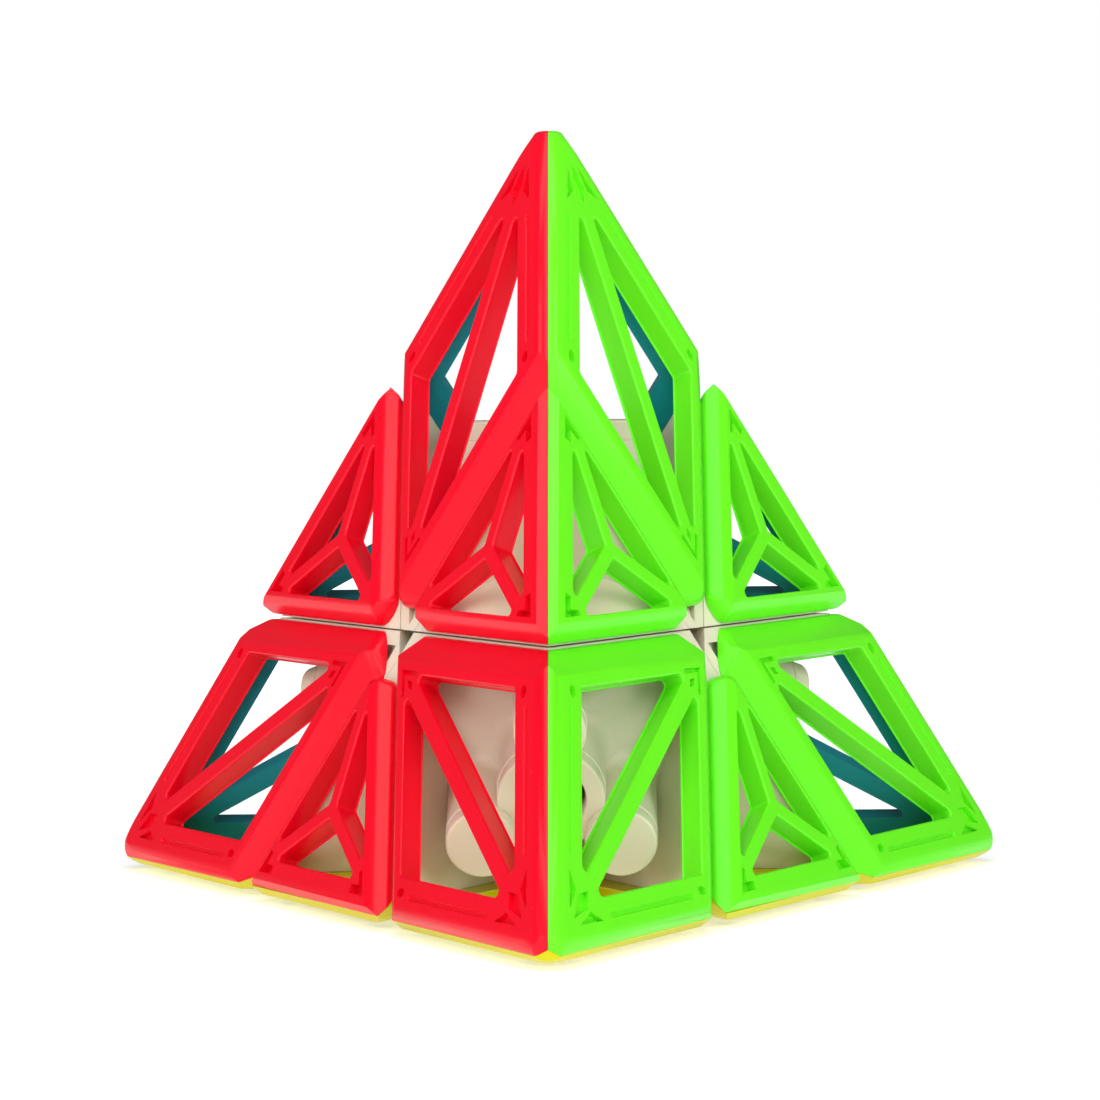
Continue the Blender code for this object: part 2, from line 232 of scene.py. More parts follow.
@dataclass(frozen=True)
class PlasticFinish:
    """Glossy moulded plastic: flow mottle, faint sink waves, fine mould grain and stray dust."""

    slot: str
    color: Color
    shade: Color  # where the pigment lies a little thicker
    roughness: float = 0.3
    coat: float = 0.04
    gloss: float = 0.2
    glow: float = 0.0  # how much light spreads under the surface
    reach: Color = (1.0, 0.5, 0.3)  # how far each colour of light spreads, times 1 mm

    def material(self) -> Material:
        """The finish as a material named after its slot."""
        graph = ShaderGraph(f"{self.slot}_plastic")
        flow = graph.ramp(graph.noise(55.0, 3.0, (1.0, 1.0, 0.45)), 0.35, 0.7)
        smudge = graph.ramp(graph.noise(140.0, 4.0), 0.4, 0.75)
        dust = graph.ramp(graph.noise(3600.0, 1.0), 0.74, 0.8)
        paint = graph.mixed(flow * 0.6, self.color, self.shade)
        paint = graph.mixed(dust * 0.06, paint, (0.82, 0.8, 0.76))
        waves = graph.bump(graph.noise(70.0, 1.0), 0.05, 0.0004)
        grain = graph.bump(graph.noise(4200.0, 2.0), 0.05, 0.00004, waves)
        return graph.finish(
            {
                "Base Color": paint,
                "Roughness": self.roughness + smudge * 0.05 + dust * 0.15,
                "Normal": grain,
                "Coat Weight": self.coat,
                "Coat Roughness": 0.12,
                "Subsurface Weight": self.glow,
                "Subsurface Radius": self.reach,
                "Subsurface Scale": 0.001,
                "IOR": 1.5,
                "Specular IOR Level": self.gloss,
            }
        )


@dataclass(frozen=True)
class SteelFinish:
    """Zinc-plated steel with turning marks."""

    slot: str
    color: Color
    shade: Color

    def material(self) -> Material:
        """The finish as a material named after its slot."""
        graph = ShaderGraph(f"{self.slot}_plating")
        cloud = graph.ramp(graph.noise(300.0, 3.0), 0.3, 0.7)
        marks = graph.noise(5200.0, 2.0, (0.2, 0.2, 1.0))
        return graph.finish(
            {
                "Base Color": graph.mixed(cloud, self.color, self.shade),
                "Metallic": 1.0,
                "Roughness": 0.24 + marks * 0.2,
                "Normal": graph.bump(marks, 0.15, 0.00004),
            }
        )


FINISHES = (
    PlasticFinish("red", (0.90, 0.002, 0.020), (0.84, 0.001, 0.013), glow=0.04, reach=(1.0, 0.1, 0.1)),
    PlasticFinish("green", (0.15, 0.88, 0.014), (0.13, 0.83, 0.009), glow=0.04, reach=(0.2, 1.0, 0.1)),
    # blue plastic given the darker teal that its faces show in shade at the back: partly painted shade
    PlasticFinish("blue", (0.008, 0.30, 0.36), (0.006, 0.24, 0.30), glow=0.04, reach=(0.1, 0.6, 1.0)),
    PlasticFinish("yellow", (0.66, 0.62, 0.004), (0.60, 0.55, 0.002), glow=0.04, reach=(1.0, 0.8, 0.1)),
    PlasticFinish("ivory", (0.86, 0.79, 0.62), (0.82, 0.73, 0.55), 0.36, 0.1, 0.4, 0.25, (1.0, 0.8, 0.5)),
    SteelFinish("steel", (0.58, 0.58, 0.60), (0.48, 0.49, 0.52)),
)


# Mesh making ----


def keep_inside(bm: BMesh, normal: Vector, distance: float) -> None:
    """Cut a closed convex shape at a plane, and keep the part that the normal points away from.

    Args:
        bm: the shape.
        normal: the plane's normal, of any length.
        distance: the plane's distance from the origin along the normal.
    """
    everything = bm.verts[:] + bm.edges[:] + bm.faces[:]
    direction = normal.normalized()
    cut = {"plane_co": direction * distance, "plane_no": direction, "dist": CUT_TOLERANCE}
    bmesh.ops.bisect_plane(bm, geom=everything, clear_outer=True, **cut)
    bmesh.ops.holes_fill(bm, edges=[edge for edge in bm.edges if edge.is_boundary])


def to_mesh(bm: BMesh) -> Mesh:
    """Mesh of a bmesh, which is freed."""
    bmesh.ops.recalc_face_normals(bm, faces=bm.faces)
    mesh = bpy.data.meshes.new("shape")
    bm.to_mesh(mesh)
    bm.free()
    return mesh


def combine(first: Mesh, operation: str, second: Mesh) -> Mesh:
    """Exact Boolean of two meshes.

    Args:
        first: the mesh to work on.
        operation: UNION, DIFFERENCE or INTERSECT.
        second: the tool.

    Returns:
        A new mesh.
    """
    target = bpy.data.objects.new("target", first)
    tool = bpy.data.objects.new("tool", second)
    for item in (target, tool):
        bpy.context.scene.collection.objects.link(item)
    modifier = target.modifiers.new("combine", "BOOLEAN")
    modifier.operation = operation
    modifier.solver = "EXACT"
    modifier.object = tool
    graph = bpy.context.evaluated_depsgraph_get()
    result = bpy.data.meshes.new_from_object(target.evaluated_get(graph))
    bpy.data.objects.remove(target)
    bpy.data.objects.remove(tool)
    return result


def minus(first: Mesh, *tools: Mesh) -> Mesh:
    """A mesh less several tools, taken away in turn."""
    for tool in tools:
        first = combine(first, "DIFFERENCE", tool)
    return first


def joined(meshes: Sequence[Mesh]) -> Mesh:
    """One mesh that holds several."""
    bm = bmesh.new()
    for mesh in meshes:
        bm.from_mesh(mesh)
    return to_mesh(bm)


def tetrahedron(face_distance: float) -> BMesh:
    """Sharp tetrahedron round the origin, with its faces at that distance."""
    bm = bmesh.new()
    base_radius = 2 * sqrt(2) * face_distance
    place = Matrix.Translation((0, 0, face_distance)) @ Matrix.Rotation(pi, 4, "Z")
    bmesh.ops.create_cone(
        bm, cap_ends=True, segments=3, radius1=base_radius, radius2=0, depth=4 * face_distance, matrix=place
    )
    return bm


def ball(radius: float, segments: int = 64) -> Mesh:
    """Ball round the origin."""
    bm = bmesh.new()
    bmesh.ops.create_uvsphere(bm, u_segments=segments, v_segments=segments // 2, radius=radius)
    return to_mesh(bm)


def lifted(outline: Sequence[Point], height: float) -> list[Vector]:
    """A flat outline's points at a height."""
    return [Vector((x, y, height)) for x, y in outline]


def skinned(loops: Sequence[Sequence[Vector]]) -> Mesh:
    """Closed solid through loops of equally many points, with its two end loops capped.

    Args:
        loops: the loops, from one end to the other.

    Returns:
        The mesh.
    """
    bm = bmesh.new()
    rings = [[bm.verts.new(point) for point in loop] for loop in loops]
    for lower, upper in zip(rings, rings[1:]):
        for a, b, c, d in zip(lower, lower[1:] + lower[:1], upper[1:] + upper[:1], upper):
            bm.faces.new((a, b, c, d))
    bm.faces.new(rings[0][::-1])
    bm.faces.new(rings[-1])
    return to_mesh(bm)


def lathed(profile: Sequence[Point], steps: int = 64, closed: bool = False) -> Mesh:
    """Solid turned round the Z axis.

    Args:
        profile: (radius, height) points; the first and the last are on the axis, or none is.
        steps: facets round the axis.
        closed: whether the profile goes back to its first point, for a ring.

    Returns:
        The mesh.
    """
    bm = bmesh.new()
    points = [bm.verts.new((radius, 0, height)) for radius, height in profile]
    following = points[1:] + points[:1] if closed else points[1:]
    lines = [bm.edges.new(pair) for pair in zip(points, following)]
    bmesh.ops.spin(bm, geom=points + lines, axis=(0, 0, 1), cent=(0, 0, 0), angle=2 * pi, steps=steps)
    bmesh.ops.remove_doubles(bm, verts=bm.verts, dist=TINY)
    return to_mesh(bm)


def drill(radius: float, start: float = 0.0, steps: int = 64) -> Mesh:
    """Cutter for a round hole along the Z axis, from a start height past everything."""
    return lathed(((0, start), (radius, start), (radius, FAR), (0, FAR)), steps)


def line_crossing(first: tuple[Point, float], second: tuple[Point, float]) -> Point:
    """Point where two lines meet, each given by its normal and its distance from the origin."""
    ((a, b), p), ((c, d), q) = first, second
    scale = a * d - b * c
    return ((p * d - b * q) / scale, (a * q - p * c) / scale)


def polygon(lines: Sequence[tuple[Point, float]]) -> list[Point]:
    """Corners of a convex polygon from its bounding lines, listed anticlockwise."""
    return [line_crossing(line, following) for line, following in zip(lines, [*lines[1:], lines[0]])]


def rounded(corners: Sequence[Point], radius: float, grow: float, steps: int = 6) -> list[Point]:
    """Outline of a convex polygon with round corners.

    Args:
        corners: the sharp corners, anticlockwise.
        radius: the corners' rounding.
        grow: how far the whole outline is pushed outwards.
        steps: facets in each corner.

    Returns:
        The outline's points.
    """
    points = []
    count = len(corners)
    for index, (x, y) in enumerate(corners):
        before, after = corners[index - 1], corners[(index + 1) % count]
        come = atan2(y - before[1], x - before[0]) - pi / 2
        leave = atan2(after[1] - y, after[0] - x) - pi / 2
        turn = (leave - come) % (2 * pi)
        reach = radius / cos(turn / 2)
        middle = come + turn / 2
        centre = (x - reach * cos(middle), y - reach * sin(middle))
        for step in range(steps + 1):
            angle = come + turn * step / steps
            out = radius + grow
            points.append((centre[0] + out * cos(angle), centre[1] + out * sin(angle)))
    return points


def window_cutter(
    corners: Sequence[Point], radius: float, top_lip: float, depth: float, foot_lip: float
) -> Mesh:
    """Cutter for a window with round corners and soft rims on both faces of a panel.

    Args:
        corners: the window's sharp corners, anticlockwise.
        radius: rounding of its corners.
        top_lip: rounding of its outer rim.
        depth: the panel's thickness.
        foot_lip: rounding of its inner rim.

    Returns:
        The cutter, with the panel's outer face at height 0.
    """
    above, below, proud, splay = 2.0, 1.0, 0.02, 1.6
    top_steps, foot_steps = 4, 3
    levels = [(above, top_lip * splay)]
    for step in range(top_steps + 1):
        angle = pi / 2 * step / top_steps
        levels.append((proud - top_lip * (1 - cos(angle)), top_lip * (1 - sin(angle))))
    for step in range(foot_steps + 1):
        angle = pi / 2 * step / foot_steps
        levels.append((foot_lip * cos(angle) - depth, foot_lip * (1 - cos(pi / 2 - angle))))
    levels.append((-depth - below, foot_lip * splay))
    return skinned([lifted(rounded(corners, radius, grow), height) for height, grow in levels])


def engraver(corners: Sequence[Point], depth: float, flare: float = 0.0) -> Mesh:
    """Cutter for a shallow recess.

    Args:
        corners: the recess's outline.
        depth: how deep it is.
        flare: how much wider it is at the surface; the outline is convex and anticlockwise if this is set.

    Returns:
        The cutter, with the panel's outer face at height 0.
    """
    above = 1.0
    if not flare:
        return skinned([lifted(corners, height) for height in (above, -depth)])
    shoulder, bulge, taper = 0.55, 0.25, 0.3
    levels = ((above, flare), (0.0, flare), (-depth * shoulder, flare * bulge), (-depth, -flare * taper))
    return skinned([lifted(rounded(corners, 2 * flare, grow, 3), height) for height, grow in levels])


def slot_corners(start: Point, end: Point, width: float) -> list[Point]:
    """Corners of a straight slot between two points, anticlockwise."""
    along = Vector((end[0] - start[0], end[1] - start[1])).normalized()
    side = Vector((-along.y, along.x)) * width / 2
    return [
        (start[0] - side.x, start[1] - side.y),
        (end[0] - side.x, end[1] - side.y),
        (end[0] + side.x, end[1] + side.y),
        (start[0] + side.x, start[1] + side.y),
    ]


def beside(centre: Point, reach: float, angle: float, height: float) -> Vector:
    """Point at a distance from an upright axis, on the side given by the angle."""
    return Vector((centre[0] + reach * cos(angle), centre[1] + reach * sin(angle), height))


def mirrored(corners: Sequence[Point]) -> list[Point]:
    """The outline's mirror image across the panel's middle line, anticlockwise again."""
    return [(-x, y) for x, y in reversed(corners)]


def rotation(sources: tuple[Tip, Tip], targets: tuple[Tip, Tip]) -> Matrix:
    """Rotation about the core that takes two corners to two others."""

    def basis(tips: tuple[Tip, Tip]) -> Matrix:
        """Frame spanned by two turning axes."""
        first, second = tips[0].axis, tips[1].axis
        return Matrix((first, second, first.cross(second))).transposed()

    return (basis(targets) @ basis(sources).inverted()).to_4x4()


# The object's outer form ----


@dataclass
class PyramidForm:
    """Overall form of the puzzle, in millimetres."""

    edge_length: float = 98.0
    edge_rounding: float = 1.9
    tip_cut: float = 4.3
    tip_softness: float = 0.8
    tip_bulge: float = 0.62  # how far the tip's rounding starts in from its rim, in softnesses
    rounding_steps: int = 10

    @property
    def height(self) -> float:
        """Height of the sharp tetrahedron."""
        return self.edge_length * sqrt(2 / 3)

    @property
    def face_distance(self) -> float:
        """From the core to a face."""
        return self.height / 4

    @property
    def cut_distance(self) -> float:
        """From the core to a cut between layers."""
        return self.height / 12

    @property
    def face_inradius(self) -> float:
        """From a face's middle to its sides."""
        return self.edge_length / (2 * sqrt(3))

    def rounded_tetrahedron(self) -> BMesh:
        """The outer form with round edges and blunt, soft tips."""
        bm = tetrahedron(self.face_distance)
        width = self.edge_rounding * sqrt(2)
        bmesh.ops.bevel(
            bm, geom=bm.edges[:], offset=width, segments=self.rounding_steps, profile=0.5, affect="EDGES"
        )
        level = 3 * self.face_distance - self.tip_cut
        for tip in Tip:
            keep_inside(bm, tip.axis, level)
        self.round_top_tip(bm, level)
        return bm

    def round_top_tip(self, bm: BMesh, level: float) -> None:
        """Round the rim of the blunt top tip with facets all round it.

        Args:
            bm: the outer form.
            level: height of the blunt end.
        """
        rim = [vert.co.copy() for vert in bm.verts if vert.co.z > level - TINY]
        radius = self.tip_softness
        for degrees in range(0, 360, 15):
            out = Vector((cos(radians(degrees)), sin(radians(degrees)), 0))
            centre = max(out.dot(point) for point in rim) - self.tip_bulge * radius
            for tilt in (11, 22, 33, 44, 55):
                lean, rise = sin(radians(tilt)), cos(radians(tilt))
                distance = (level - radius) * rise + centre * lean + radius
                keep_inside(bm, out * lean + Vector((0, 0, rise)), distance)


RED_OUTWARD = -Tip.RIGHT.axis


def along_face(direction: Vector) -> Vector:
    """The direction's share along the red face, as a unit vector."""
    return (direction - RED_OUTWARD * direction.dot(RED_OUTWARD)).normalized()


Plane = tuple[Vector, float]  # unit normal, and distance from the core along it


@dataclass
class Panel:
    """What both kinds of coloured panel share; templates lie in the red face."""

    form: PyramidForm
    thickness: float = 2.3
    gap: float = 0.5  # between the panels of two pieces
    mitre_gap: float = 0.04  # between two panels of one piece
    bevel_depth: float = 1.8
    ridge_radius: float = 1.9  # along a slope's upper edge
    foot_radius: float = 0.7  # along a slope's lower edge
    nose_radius: float = 1.8
    window_softness: float = 0.26
    foot_lip: float = 0.15  # rounding of a window's inner rim
    corner_radius: float = 0.45
    facet: float = radians(9)  # turn between the facets of a rounding

    @property
    def face(self) -> Plane:
        """The red face."""
        return RED_OUTWARD, self.form.face_distance

    def face_frame(self, towards: Tip) -> Matrix:
        """From drawing coordinates to the red face: Y towards a corner, Z outwards, origin mid-face."""
        up = along_face(towards.axis)
        across = up.cross(RED_OUTWARD)
        axes = Matrix((across, up, RED_OUTWARD)).transposed().to_4x4()
        return Matrix.Translation(RED_OUTWARD * self.form.face_distance) @ axes

    def slope(self, cut_normal: Vector, cut_distance: float, inset: float) -> tuple[Plane, Plane]:
        """A panel's wall along a layer cut, and the slope that leads down to it.

        Args:
            cut_normal: the wall's normal, out of the panel.
            cut_distance: the layer cut's distance from the core along that normal.
            inset: from the layer cut to the slope's upper edge, along the face.

        Returns:
            The wall and the slope.
        """
        wall = cut_distance - self.gap / 2
        lean = (cut_normal - RED_OUTWARD * cut_normal.dot(RED_OUTWARD)).length
        upper = cut_distance - inset * lean
        run = wall - upper
        normal = cut_normal * self.bevel_depth + RED_OUTWARD * run
        distance = (self.bevel_depth * upper + run * self.form.face_distance) / normal.length
        return (cut_normal, wall), (normal.normalized(), distance)

    def windows(self) -> list[list[Point]]:
        """Outlines of the windows, which each kind of panel draws."""
        raise NotImplementedError

    def round_between(self, bm: BMesh, first: Plane, second: Plane, radius: float) -> None:
        """Round the edge where two planes of a convex shape meet, with facets that touch a cylinder.

        Args:
            bm: the shape, already cut at both planes.
            first: one plane.
            second: the other.
            radius: the cylinder's radius.
        """
        (n, p), (m, q) = first, second
        shared = n.dot(m)
        a = ((p - radius) - shared * (q - radius)) / (1 - shared**2)
        b = ((q - radius) - shared * (p - radius)) / (1 - shared**2)
        axis_point = n * a + m * b
        steps = max(3, round(acos(shared) / self.facet))
        for step in range(1, steps):
            normal = n.slerp(m, step / steps)
            keep_inside(bm, normal, normal.dot(axis_point) + radius)

    def cut_outline(self, bm: BMesh, slopes: Sequence[tuple[Plane, Plane]], nose: Plane) -> None:
        """Cut the walls, slopes and blunt nose, and round the edges between them.

        Args:
            bm: the outer form.
            slopes: the wall and slope of each layer cut.
            nose: the blunt inner corner.
        """
        for plane in (*slopes[0], *slopes[1], nose):
            keep_inside(bm, *plane)
        for wall, slope in slopes:
            self.round_between(bm, self.face, slope, self.ridge_radius)
            self.round_between(bm, slope, wall, self.foot_radius)
            self.round_between(bm, nose, slope, self.nose_radius)
            self.round_between(bm, nose, wall, self.nose_radius)
        self.round_between(bm, self.face, nose, self.nose_radius)

    def pierced(
        self, bm: BMesh, mitres: Sequence[Tip], towards: Tip, corner_radius: float, recesses: Sequence[Mesh]
    ) -> Mesh:
        """Cut a panel's mitres, inner face, windows and recesses.

        Args:
            bm: the outer form with the panel's outline.
            mitres: corners opposite the faces that the panel meets at a mitre.
            towards: the corner that the drawings point to.
            corner_radius: rounding of the windows' corners.
            recesses: cutters for the recesses.

        Returns:
            The panel.
        """
        for side in mitres:
            keep_inside(bm, -RED_OUTWARD - side.axis, -self.mitre_gap / 2)
        keep_inside(bm, -RED_OUTWARD, self.thickness - self.form.face_distance)
        lips = self.window_softness, self.thickness, self.foot_lip
        windows = [window_cutter(corners, corner_radius, *lips) for corners in self.windows()]
        cutter = joined([*windows, *recesses])
        cutter.transform(self.face_frame(towards))
        return minus(to_mesh(bm), cutter)


@dataclass
class KitePanel(Panel):
    """A corner piece's panel: two windows beside one strut, with engraved lines and a fan at the tip."""

    slope_inset: float = 2.65
    outer_bar: float = 5.4
    inner_bar: float = 3.8
    strut: float = 2.0
    nose: float = 3.1
    line_inset: float = 3.6
    line_width: float = 0.42
    line_span: tuple[float, float] = (13.3, 28.7)  # along the edge from the sharp tip
    lens_place: tuple[float, float] = (30.3, 3.9)  # along the edge, and in from it
    lens_size: tuple[float, float] = (1.3, 0.9)
    lens_sides: int = 16
    engraving: float = 0.38
    line_share: float = 0.65  # depth of a line, in engravings
    lens_share: float = 1.5  # depth of a lens or leaf
    fan_share: float = 1.3  # depth of the fan's middle, the chevron and its spot
    line_flare: float = 0.08
    leaf: tuple[Point, ...] = ((0.95, 48.2), (1.3, 45.7), (3.0, 44.8))
    lozenge: tuple[Point, ...] = ((0.0, 48.4), (-0.85, 45.9), (0.0, 44.3), (0.85, 45.9))
    chevron: tuple[Point, ...] = (
        (0.0, 6.95), (1.62, 9.55), (1.22, 9.85), (0.0, 7.85), (-1.22, 9.85), (-1.62, 9.55),
    )
    spot: tuple[Point, ...] = ((0.0, 8.9), (0.4, 9.7), (0.0, 10.5), (-0.4, 9.7))

    def windows(self) -> list[list[Point]]:
        """Outlines of the two windows."""
        outer = ((cos(SIXTH), sin(SIXTH)), self.form.face_inradius - self.outer_bar)
        inner = ((cos(SIXTH), -sin(SIXTH)), -self.inner_bar)
        strut = ((-1.0, 0.0), -self.strut / 2)
        right = polygon((inner, outer, strut))
        return [right, mirrored(right)]

    def along_edge(self, distance: float, inset: float) -> Point:
        """Drawing point by its distance from the sharp tip along the right edge, and in from that edge."""
        tip = self.form.edge_length / sqrt(3)
        return (
            distance * sin(SIXTH) - inset * cos(SIXTH),
            tip - distance * cos(SIXTH) - inset * sin(SIXTH),
        )

    def engravings(self) -> list[Mesh]:
        """Cutters for the lines, lenses, tip fan and inner chevron."""
        start, end = (self.along_edge(distance, self.line_inset) for distance in self.line_span)
        line = slot_corners(start, end, self.line_width)
        along, inset = self.lens_place
        half, wide = self.lens_size[0] / 2, self.lens_size[1] / 2
        lens = []
        for step in range(self.lens_sides):
            angle = -2 * pi * step / self.lens_sides
            lens.append(self.along_edge(along + half * cos(angle), inset + wide * sin(angle)))
        cutters = []
        for corners in (line, mirrored(line)):
            cutters.append(engraver(corners, self.engraving * self.line_share, self.line_flare))
        for corners in (lens, mirrored(lens), self.leaf, mirrored(self.leaf)):
            cutters.append(engraver(corners, self.engraving * self.lens_share))
        for corners in (self.lozenge, self.chevron, self.spot):
            cutters.append(engraver(corners, self.engraving * self.fan_share))
        return cutters

    def template(self) -> Mesh:
        """The top corner's red panel."""
        bm, sides = self.form.rounded_tetrahedron(), (Tip.FRONT, Tip.LEFT)
        cuts = [self.slope(side.axis, self.form.cut_distance, self.slope_inset) for side in sides]
        self.cut_outline(bm, cuts, (-along_face(Tip.TOP.axis), -self.nose))
        return self.pierced(bm, sides, Tip.TOP, self.corner_radius, self.engravings())


@dataclass
class TrianglePanel(Panel):
    """An edge piece's panel: three windows round a three-armed strut, with two corner pockets."""

    slope_inset: float = 2.05
    outer_bar: float = 4.15
    inner_bar: float = 2.9
    strut: float = 1.6
    nose: float = 4.3
    corner_share: float = 0.8  # rounding of its window corners, in corner radii
    pocket_depth: float = 0.9
    pocket: tuple[Point, ...] = (
        (8.6, -25.5), (11.35, -25.5), (9.95, -23.1), (9.5, -23.4), (10.0, -24.6), (8.6, -24.6),
    )

    def windows(self) -> list[list[Point]]:
        """Outlines of the three windows."""
        bars = [((0.0, -1.0), self.form.face_inradius - self.outer_bar)]
        for side in (1, -1):
            bars.append(((side * cos(SIXTH), sin(SIXTH)), -self.inner_bar))
        hub = (0.0, -(self.form.face_inradius - self.outer_bar + self.inner_bar) * 2 / 3)
        outlines = []
        for index in range(3):
            (nx, ny), distance = bars[index]
            lines = [((nx, ny), distance)]
            for turn in (pi - SIXTH, pi + SIXTH):
                angle = atan2(ny, nx) + turn
                line = (cos(angle), sin(angle))
                lines.append((line, line[0] * hub[0] + line[1] * hub[1] - self.strut / 2))
            outlines.append(polygon(lines))
        return outlines

    def template(self) -> Mesh:
        """The red panel of the top-front edge piece."""
        bm, cut = self.form.rounded_tetrahedron(), -self.form.cut_distance
        cuts = [self.slope(-side.axis, cut, self.slope_inset) for side in (Tip.TOP, Tip.FRONT)]
        self.cut_outline(bm, cuts, (along_face(Tip.LEFT.axis), -self.nose))
        pockets = [engraver(corners, self.pocket_depth) for corners in (self.pocket, mirrored(self.pocket))]
        return self.pierced(bm, (Tip.LEFT,), Tip.LEFT, self.corner_radius * self.corner_share, pockets)


# The skeleton ----


@dataclass
class Skeleton:
    """What both kinds of ivory frame share, in millimetres."""

    form: PyramidForm
    seat: float = 2.34  # from a face to the frame under its panel
    gap: float = 0.16
    wall: float = 1.4
    dish_inner: float = 15.3
    dish_outer: float = 17.3
    foot_inner: float = 11.5
    foot_outer: float = 14.9

    def cell(self, planes: Sequence[Plane], face_distance: float) -> Mesh:
        """Convex room inside the faces and a few planes."""
        bm = tetrahedron(face_distance)
        for normal, distance in planes:
            keep_inside(bm, normal, distance)
        return to_mesh(bm)


@dataclass
class CornerSkeleton(Skeleton):
    """A corner's frame: three walls and a dish, a bored column, and three posts."""

    sides: tuple[Tip, ...] = (Tip.FRONT, Tip.LEFT, Tip.RIGHT)
    column_radius: float = 5.2
    column_overlap: float = 0.5  # how far the column reaches into the dish
    column_bore: float = 3.3
    bore_wall: float = 0.6  # round the bore, kept clear of the posts
    column_bottom: float = 14.0
    column_top: float = 25.4
    column_floor: float = 1.8
    screw_hole: float = 1.8
    post_radius: float = 3.5
    post_offset: float = 7.6
    post_top: float = 27.0
    rim_height: float = 2.0
    fillet: float = 1.5
    skirt_overlap: float = 0.6  # how far a skirt reaches into the dish
    skirt_steps: int = 6
    shaft_facets: int = 72
    line_depth: float = 0.16  # the fine ring round a shaft
    end_softness: float = 0.3

    @property
    def flat(self) -> Plane:
        """The top layer's own cut, which the frame stays above."""
        return -Tip.TOP.axis, -self.form.cut_distance - self.gap / 2

    def room(self, spare: float = 0.0) -> Mesh:
        """The convex space that the frame fills, drawn in from the three cuts by a spare distance."""
        near = self.form.cut_distance - self.gap / 2 - spare
        walls = [(side.axis, near) for side in self.sides]
        return self.cell([self.flat, *walls], self.form.face_distance - self.seat)

    def shell(self) -> Mesh:
        """Walls along the three cuts, and the dish over the edge pieces' feet."""
        near = self.form.cut_distance - self.gap / 2 - self.wall
        walls = [(side.axis, near) for side in self.sides]
        hollow = minus(self.cell([self.flat, *walls], FAR), ball(self.dish_outer))
        hole = drill(self.column_radius - self.column_overlap)
        return minus(self.room(), hollow, ball(self.dish_inner), hole)

    def skirt(self, centre: Point, radius: float, angle: float) -> list[Vector]:
        """One side of a post's foot, curved from the dish up into the shaft.

        Args:
            centre: the post's axis.
            radius: the shaft's radius.
            angle: which side.

        Returns:
            Points from inside the dish to the shaft.
        """

        def on_dish(reach: float, over: float = 0.0) -> Vector:
            """Point over the dish at a distance from the post's axis."""
            below = beside(centre, reach, angle, 0.0)
            return below + Vector((0, 0, sqrt(self.dish_outer**2 - below.x**2 - below.y**2) + over))

        wide = radius + self.fillet
        start, corner, end = on_dish(wide), on_dish(radius), on_dish(radius, self.fillet)
        points = [on_dish(wide, -self.skirt_overlap)]
        for step in range(self.skirt_steps + 1):
            t = step / self.skirt_steps
            points.append(start * (1 - t) ** 2 + corner * 2 * t * (1 - t) + end * t**2)
        return points

    def shaft(self, centre: Point, radius: float, top: float, bore: Sequence[Point]) -> Mesh:
        """Column or post with a skirt, a fine ring line and a soft end.

        Args:
            centre: its axis.
            radius: its radius.
            top: height of its end.
            bore: (radius, height) points of a bore, from its mouth to its floor.

        Returns:
            The mesh.
        """
        ring, soft = top - self.rim_height, self.end_softness
        narrow, end = radius - self.line_depth, radius - 0.06
        profile = [(radius, ring - 0.12), (narrow, ring - 0.05), (narrow, ring + 0.05), (end, ring + 0.12)]
        for step in range(4):
            angle = pi / 2 * step / 3
            profile.append((radius - 0.36 + soft * cos(angle), top - soft + soft * sin(angle)))
        profile += bore
        columns = []
        for side in range(self.shaft_facets):
            angle = 2 * pi * side / self.shaft_facets
            column = self.skirt(centre, radius, angle)
            column += [beside(centre, reach, angle, height) for reach, height in profile]
            columns.append(column)
        return skinned(list(zip(*columns)))

    def column(self) -> Mesh:
        """The bored column on the corner's axis."""
        floor = self.column_bottom + self.column_floor
        mouth = self.column_top
        bore = [(self.column_bore + 0.35, mouth), (self.column_bore + 0.1, mouth - 0.1)]
        bore += [(self.column_bore, mouth - 0.35), (self.column_bore, floor)]
        bore += [(self.screw_hole, floor), (self.screw_hole, self.column_bottom)]
        return self.shaft((0.0, 0.0), self.column_radius, self.column_top, bore)

    def post(self, side: Tip) -> Mesh:
        """The post on the side of another corner."""
        away = Vector((side.axis.x, side.axis.y)).normalized() * self.post_offset
        post = self.shaft((away.x, away.y), self.post_radius, self.post_top, [])
        post = combine(post, "INTERSECT", self.room(self.wall / 2))
        return minus(post, drill(self.column_bore + self.bore_wall))


